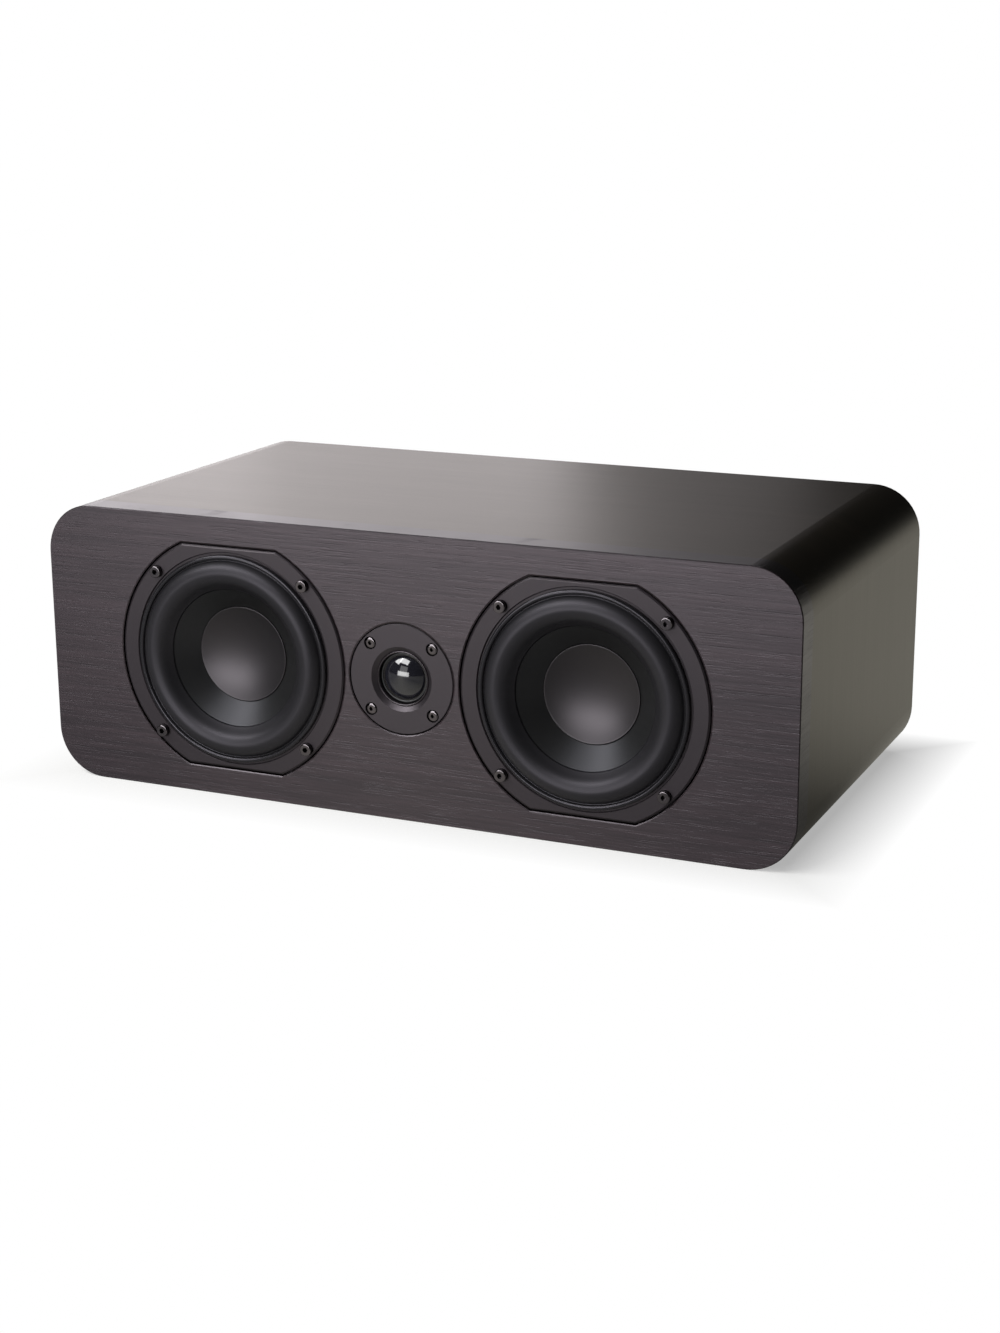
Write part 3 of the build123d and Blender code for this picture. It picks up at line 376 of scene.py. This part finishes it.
rubber, shader, shade = new_finish(
    "black_rubber",
    Base_Color=(0.0090, 0.0088, 0.0098, 1),
    Specular_IOR_Level=0.32,
    Specular_Tint=(0.93, 0.88, 1.0, 1),
)
emboss(shader, shade.noise(1500.0, 2.0), 0.04, 0.0001)
on_roll = inset(shade, "right_woofer_surround").beyond(bead_width + groove_width)
feed(shader, "Roughness", on_roll * 0.24 + 0.22)
for side in ("left", "right"):
    low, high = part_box(f"{side}_woofer_surround")
    centre = (low + high) / 2
    rim = (high.x - low.x) / 2
    foot = low.y + roll_height
    roll_outer = rim - bead_width - groove_width
    roll_inner = roll_outer - roll_width
    lip_inner = roll_inner - lip_width
    maker = bmesh.new()
    bead = chain(
        maker,
        [
            (centre.x + rim, foot + rubber_thickness, centre.z),
            (centre.x + rim, foot - bead_rise, centre.z),
            (centre.x + rim - bead_width, foot - bead_rise, centre.z),
            (centre.x + rim - bead_width, foot, centre.z),
            (centre.x + roll_outer, foot, centre.z),
        ],
    )
    roll_end = half_roll(maker, bead[-1], Vector((centre.x + roll_inner, foot, centre.z)), roll_height)
    lip_front = foot + lip_width * tan(cone_slope) + lip_taper
    lip_end = Vector((centre.x + lip_inner, lip_front, centre.z))
    lip = chain(maker, [roll_end.co.lerp(lip_end, share) for share in (0.25, 0.5, 0.75, 1.0)])
    maker.edges.new((roll_end, lip[0]))
    valley = []
    for corner in maker.verts:
        if lip_inner < corner.co.x - centre.x < roll_inner + valley_width:
            valley.append(corner)
    for smoothing in range(valley_passes):
        bmesh.ops.smooth_vert(
            maker, verts=valley, factor=0.5, use_axis_x=True, use_axis_y=True, use_axis_z=True
        )
    bmesh.ops.bevel(
        maker, geom=bead[1:3], affect="VERTICES", offset=bead_round, segments=5, profile=0.5, material=-1
    )
    surround = spun_sheet(f"{side}_rubber_roll", maker, centre, rubber_thickness / 2, rubber)
    flex(surround)
    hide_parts(f"{side}_woofer_surround")

# Woofer cones and dust caps: moulded black polymer. The cap is a shallow dish with a brushed satin
# face, glued over the coil at the neck of the cone.
cone_black, shader, shade = new_finish(
    "cone_black",
    Base_Color=(0.008, 0.008, 0.008, 1),
    Roughness=0.40,
    Specular_IOR_Level=0.28,
    Specular_Tint=(0.90, 0.90, 1.0, 1),
)
emboss(shader, shade.noise(3000.0, 2.0), 0.05, 0.0001)
dress(cone_black, "left_woofer_cone", "right_woofer_cone")

cap_grey, shader, shade = new_finish(
    "cap_grey",
    Base_Color=(0.0035, 0.0033, 0.0035, 1),
    Roughness=0.38,
    Specular_IOR_Level=0.54,
    Specular_Tint=(1.0, 0.92, 1.0, 1),
)
emboss(shader, shade.noise(3000.0, 2.0), 0.05, 0.0001)


def bowl(maker, rim, middle):
    """An arc from a corner on a rim to a place on the driver's axis, square to the axis there."""
    radius = rim.co.x - middle.x
    depth = rim.co.y - middle.y
    bow = (radius**2 + depth**2) / (2 * depth)
    sweep = -copysign(asin(radius / abs(bow)), depth)
    centre = middle + Vector((0, bow, 0))
    bmesh.ops.spin(maker, geom=[rim], cent=centre, axis=(0, 0, 1), angle=sweep, steps=24)


cap_edge = 0.001
cap_edge_round = 0.0007
cap_thickness = 0.0008
for side in ("left", "right"):
    low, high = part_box(f"{side}_woofer_dust_cap")
    centre = (low + high) / 2
    maker = bmesh.new()
    edge = chain(maker, [(high.x, low.y + cap_edge, centre.z), (high.x, low.y, centre.z)])
    bowl(maker, edge[-1], Vector((centre.x, high.y - cap_thickness, centre.z)))
    bmesh.ops.bevel(
        maker, geom=edge[1:], affect="VERTICES", offset=cap_edge_round, segments=4, profile=0.5, material=-1
    )
    cap = spun_sheet(f"{side}_dished_cap", maker, centre, cap_thickness, cap_grey)
    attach(cap, f"{side}_cone")
    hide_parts(f"{side}_woofer_dust_cap")

# Voice coils and spiders: copper-clad wire wound at the far end of a thin brown former, and a disc
# of corrugated, resin-stiffened cloth that keeps the coil centred in the motor's gap.
def wound_former(name, node, winding_length):
    """Finish of a coil: wire at its far end, and the bare former in front of it."""
    finish, shader, shade = new_finish(name, Roughness=0.4)
    wound = shade.depth().beyond(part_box(node)[1].y - winding_length)
    feed(shader, "Base Color", wound.blend((0.012, 0.008, 0.006, 1), (0.72, 0.36, 0.19, 1)))
    feed(shader, "Metallic", wound)
    return finish


woofer_winding = 0.0145
dress(
    wound_former("woofer_coil", "left_woofer_voice_coil", woofer_winding),
    "left_woofer_voice_coil",
    "right_woofer_voice_coil",
)

wave_count = 3
wave_height = 0.0012
spider_flat = 0.0045
spider_collar = 0.002
winding_thickness = 0.0007
spider_thickness = 0.0006
stiff_cloth, shader, shade = new_finish("stiff_cloth", Roughness=0.8)
threads = shade.noise(1200.0, 2.0)
feed(shader, "Base Color", threads.blend((0.40, 0.29, 0.12, 1), (0.60, 0.46, 0.23, 1)))
emboss(shader, threads, 0.3, 0.0003)
for side in ("left", "right"):
    low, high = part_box(f"{side}_woofer_spider")
    centre = (low + high) / 2
    outer = (high.x - low.x) / 2
    coil_low, coil_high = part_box(f"{side}_woofer_voice_coil")
    inner = (coil_high.x - coil_low.x) / 2 - winding_thickness
    wave_outer = outer - spider_flat
    wave_inner = inner + spider_collar
    maker = bmesh.new()
    front = centre.y - spider_thickness / 2
    chain(
        maker,
        [
            (centre.x + outer, front, centre.z),
            (centre.x + wave_outer, front, centre.z),
            (centre.x + wave_inner, front, centre.z),
            (centre.x + inner, front, centre.z),
        ],
    )
    maker.edges.ensure_lookup_table()
    bmesh.ops.subdivide_edges(maker, edges=[maker.edges[1]], cuts=wave_count * 10 - 1)
    for corner in maker.verts:
        share = (corner.co.x - centre.x - wave_inner) / (wave_outer - wave_inner)
        if 0 < share < 1:
            corner.co.y += wave_height * sin(2 * pi * wave_count * share)
    spider = spun_sheet(f"{side}_corrugated_cloth", maker, centre, spider_thickness, stiff_cloth)
    flex(spider)
    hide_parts(f"{side}_woofer_spider")

# Driver motors: plates and yokes of plated steel with a ring of dark ferrite between them, glued in
# a stack behind each driver. A laminate strip with two tinned tags takes the leads.
plated_steel, shader, shade = new_finish("plated_steel", Base_Color=(0.42, 0.42, 0.43, 1), Metallic=1.0)
feed(shader, "Roughness", shade.noise(120.0) * 0.2 + 0.25)
ferrite, shader, shade = new_finish("ferrite", Base_Color=(0.03, 0.03, 0.032, 1), Roughness=0.6)
emboss(shader, shade.noise(800.0, 4.0), 0.3, 0.0003)
strip_thickness = 0.0015
for driver in ("left_woofer", "right_woofer", "tweeter"):
    dress(plated_steel, f"{driver}_top_plate", f"{driver}_yoke")
    dress(ferrite, f"{driver}_magnet")
    tagged_strip, shader, shade = new_finish(f"{driver}_tagged_strip", Roughness=0.4)
    tag = shade.depth().beyond(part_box(f"{driver}_tag_strip")[0].y + strip_thickness)
    feed(shader, "Base Color", tag.blend((0.20, 0.10, 0.045, 1), (0.62, 0.62, 0.60, 1)))
    feed(shader, "Metallic", tag)
    dress(tagged_strip, f"{driver}_tag_strip")

# Tweeter: a satin plate with a shallow horn, and a glossy black dome on a thin coated surround that
# is clamped behind the plate. Its coil hangs from the edge of the dome.
plate_black, shader, shade = new_finish(
    "plate_black", Base_Color=(0.010, 0.0085, 0.0098, 1), Specular_Tint=(1.0, 0.89, 0.98, 1)
)
throat_inset = 0.016
feed(shader, "Roughness", 0.4 - inset(shade, "tweeter_plate").beyond(throat_inset) * 0.24)
emboss(shader, shade.noise(2500.0, 2.0), 0.06, 0.0001)
dress(plate_black, "tweeter_plate")

gloss_dome = new_finish(
    "gloss_dome", Base_Color=(0.008, 0.008, 0.011, 1), Roughness=0.07, IOR=1.68
)[0]
film_thickness = 0.0003
low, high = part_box("tweeter_dome")
centre = (low + high) / 2
maker = bmesh.new()
edge = chain(maker, [(high.x, high.y - film_thickness, centre.z)])
bowl(maker, edge[0], Vector((centre.x, low.y, centre.z)))
dome = spun_sheet("domed_skin", maker, centre, film_thickness, gloss_dome)
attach(dome, "dome")
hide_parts("tweeter_dome")

dome_winding = 0.0037
dress(wound_former("dome_coil", "tweeter_voice_coil", dome_winding), "tweeter_voice_coil")

dome_flange = 0.0027
dome_roll = 0.0015
dome_roll_height = 0.0008
coated_film = new_finish("coated_film", Base_Color=(0.008, 0.008, 0.009, 1), Roughness=0.45)[0]
low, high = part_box("tweeter_surround")
centre = (low + high) / 2
outer = (high.x - low.x) / 2
foot = low.y + dome_roll_height
maker = bmesh.new()
held = outer - dome_flange
flange = chain(maker, [(centre.x + outer, foot, centre.z), (centre.x + held, foot, centre.z)])
dome_lip = Vector((centre.x + held - dome_roll, foot, centre.z))
half_roll(maker, flange[-1], dome_lip, dome_roll_height)
film = spun_sheet("coated_roll", maker, centre, film_thickness, coated_film)
flex(film)
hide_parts("tweeter_surround")

# Terminals: a moulded cup in the rear panel with two binding posts, red and black. Each has a
# gold-plated stud and clamp washer, a coloured collar and a fluted nut that screws down on a wire.
cup_black, shader, shade = new_finish("cup_black", Base_Color=(0.014, 0.014, 0.014, 1), Roughness=0.5)
emboss(shader, shade.noise(1400.0, 2.0), 0.25, 0.0002)
dress(cup_black, "terminal_cup")

gold_plate = new_finish(
    "gold_plate", Base_Color=(0.83, 0.60, 0.27, 1), Metallic=1.0, Roughness=0.22
)[0]
dress(gold_plate, "red_post_stud", "black_post_stud", "red_post_washer", "black_post_washer")
dress(gold_plate, "solder_lugs", "post_back_nuts")

red_grip = new_finish("red_grip", Base_Color=(0.42, 0.012, 0.014, 1), Roughness=0.18)[0]
dress(red_grip, "red_post_collar", "red_post_nut")
black_grip = new_finish("black_grip", Base_Color=(0.012, 0.012, 0.012, 1), Roughness=0.18)[0]
dress(black_grip, "black_post_collar", "black_post_nut")

# Crossover: a green laminate board on nylon spacers behind one woofer, with two air-core windings
# of enamelled wire, two sleeved capacitors and a cement resistor. Leads run to drivers and posts.
board_green, shader, shade = new_finish("board_green", Roughness=0.4)
mottle = shade.noise(60.0)
feed(shader, "Base Color", mottle.blend((0.035, 0.11, 0.04, 1), (0.07, 0.17, 0.07, 1)))
dress(board_green, "crossover_board")

nylon = new_finish("nylon", Base_Color=(0.72, 0.71, 0.66, 1), Roughness=0.5)[0]
dress(nylon, "board_spacers")
zinc = new_finish("zinc", Base_Color=(0.56, 0.57, 0.58, 1), Metallic=1.0, Roughness=0.32)[0]
dress(zinc, "board_screws")

wire_pitch = 0.0012
enamelled_wire, shader, shade = new_finish(
    "enamelled_wire", Base_Color=(0.62, 0.26, 0.12, 1), Metallic=0.9, Roughness=0.3
)
turns = shade.math("SINE", shade.depth() * (2 * pi / wire_pitch))
emboss(shader, turns, 0.8, 0.0003)
dress(enamelled_wire, "crossover_inductors")

bare_end = 0.0004
blue_sleeve, shader, shade = new_finish("blue_sleeve", Roughness=0.35)
sleeved = shade.depth().beyond(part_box("crossover_capacitors")[0].y + bare_end)
feed(shader, "Base Color", sleeved.blend((0.62, 0.62, 0.63, 1), (0.03, 0.05, 0.14, 1)))
feed(shader, "Metallic", 1 - sleeved)
dress(blue_sleeve, "crossover_capacitors")

cement, shader, shade = new_finish("cement", Base_Color=(0.76, 0.74, 0.68, 1), Roughness=0.9)
emboss(shader, shade.noise(1500.0, 4.0), 0.4, 0.0002)
dress(cement, "tweeter_resistor")
lead_red = new_finish("lead_red", Base_Color=(0.30, 0.02, 0.02, 1), Roughness=0.45)[0]
dress(lead_red, "internal_leads")

# Studio: a plain white paper floor under soft light, seen from the photograph's side. The paper is
# white to the eye and keeps the speaker's soft shadow; close by, reflections show it greyer.
floor_mesh = bpy.data.meshes.new("floor")
maker = bmesh.new()
bmesh.ops.create_grid(maker, x_segments=1, y_segments=1, size=30.0)
maker.to_mesh(floor_mesh)
maker.free()
floor = bpy.data.objects.new("floor", floor_mesh)
bpy.context.collection.objects.link(floor)
floor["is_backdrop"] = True
paper, shader, shade = new_finish("paper", Roughness=0.9)
floor_mesh.materials.append(paper)


def ray(shade, kind):
    """1 for light rays of one kind, and 0 for the others."""
    path = shade.tree.nodes.new("ShaderNodeLightPath")
    return Shade(shade.tree, path.outputs[f"Is {kind} Ray"])


mirrored = ray(shade, "Glossy")
feed(shader, "Base Color", mirrored.blend((0.92, 0.92, 0.90, 1), (0.22, 0.22, 0.22, 1)))
# Painted reflections: glossy rays see the paper glow in shaped zones, behind the speaker, to its right and
# along a slanting strip in front, which set the sheen on the cabinet.
shadow_white = 0.42
painted_behind_white = 0.667
painted_right_white = 0.18
painted_strip_white = 0.62
beside = shade.math("ABSOLUTE", shade.along(0)) - cad_high.x
before = shade.math("ABSOLUTE", shade.along(1)) - cad_high.y
away = shade.math("MAXIMUM", beside, before)
seen = (ray(shade, "Camera") + ray(shade, "Transmission")).clamped()
seen_white = ((away + 0.01) * 22).clamped() * (1 - shadow_white) + shadow_white
behind = (shade.along(1) * 5).clamped()
rightward = (shade.along(0) * 3).clamped()
aslant = shade.along(0) - (shade.along(1) + 0.12) * 0.5
strip = (1 - shade.math("ABSOLUTE", aslant) * 5).clamped()
painted_reflection_white = behind * painted_behind_white + (1 - behind) * (rightward * painted_right_white + strip * painted_strip_white)
white = seen_white * seen + painted_reflection_white * mirrored
# painted reflection tint: the glow that reflections see is warm
painted_reflection_tone = mirrored.blend((1, 1, 1, 1), (1, 0.97, 0.86, 1))
glow = shade.node("ShaderNodeEmission", None, {"Color": painted_reflection_tone, "Strength": 1.0})
lit = Shade(paper.node_tree, shader.outputs[0])
mixed = shade.node("ShaderNodeMixShader", None, {0: white, 1: lit, 2: glow})
paper.node_tree.links.new(mixed.socket, paper.node_tree.nodes["Material Output"].inputs[0])

world = bpy.data.worlds.new("studio")
bpy.context.scene.world = world
world.use_nodes = True
sky = world.node_tree.nodes["Background"]
sky.inputs["Color"].default_value = (1, 1, 1, 1)
shade = Shade(world.node_tree)
dim_sky = 0.02
open_white = (ray(shade, "Camera") + ray(shade, "Transmission")).clamped()
feed(sky, "Strength", open_white * (1 - dim_sky) + dim_sky)


def softbox(name, at, towards, width, height, radiance, tint=(1, 1, 1)):
    """A rectangular lamp that faces a point."""
    lamp = bpy.data.lights.new(name, "AREA")
    lamp.shape = "RECTANGLE"
    lamp.size = width
    lamp.size_y = height
    lamp.energy = radiance * pi * width * height
    lamp.color = tint
    holder = bpy.data.objects.new(name, lamp)
    holder.location = at
    holder.rotation_euler = (Vector(towards) - Vector(at)).to_track_quat("-Z", "Y").to_euler()
    holder.visible_camera = False
    bpy.context.collection.objects.link(holder)


softbox("top_front_box", (-0.62, -1.34, 1.56), (0, 0, 0.08), 1.2, 0.6, 10)
softbox("top_left_box", (-1.45, -1.05, 1.55), (0, 0, 0.08), 0.8, 0.9, 10)
softbox("front_panel", (-0.44, -1.48, 0.5), (0, 0, 0.1), 0.75, 0.8, 1.6)
softbox("low_front_panel", (-0.42, -1.44, 0.2), (0, 0, 0.1), 1.1, 0.37, 7.6)
softbox("far_left_panel", (-1.19, 1.42, 0.65), (0, 0, 0.15), 0.42, 1.1, 2.6, (1, 0.95, 0.98))
softbox("back_left_panel", (-0.84, 1.65, 0.65), (0, 0, 0.15), 0.42, 1.1, 1.85, (1, 0.95, 0.98))
softbox("back_panel", (-0.54, 1.77, 0.65), (0, 0, 0.15), 0.42, 1.1, 0.38, (1, 0.95, 0.98))

lens = bpy.data.cameras.new("camera")
lens.lens = 61.754
camera = bpy.data.objects.new("camera", lens)
camera_place = (0.5626, -1.2402, 0.4352)
yaw = radians(24.149)
pitch = radians(15.358)
roll = radians(-0.314)
ahead = Vector((-sin(yaw) * cos(pitch), cos(yaw) * cos(pitch), -sin(pitch)))
across = Vector((cos(yaw), sin(yaw), 0))
upward = across.cross(ahead)
frame_right = cos(roll) * across + sin(roll) * upward
frame_top = cos(roll) * upward - sin(roll) * across
aim = Matrix((frame_right, frame_top, -ahead)).transposed()
camera.matrix_world = Matrix.Translation(camera_place) @ aim.to_4x4()
bpy.context.collection.objects.link(camera)
bpy.context.scene.camera = camera
bpy.context.scene.view_settings.view_transform = "Standard"

low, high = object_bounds()
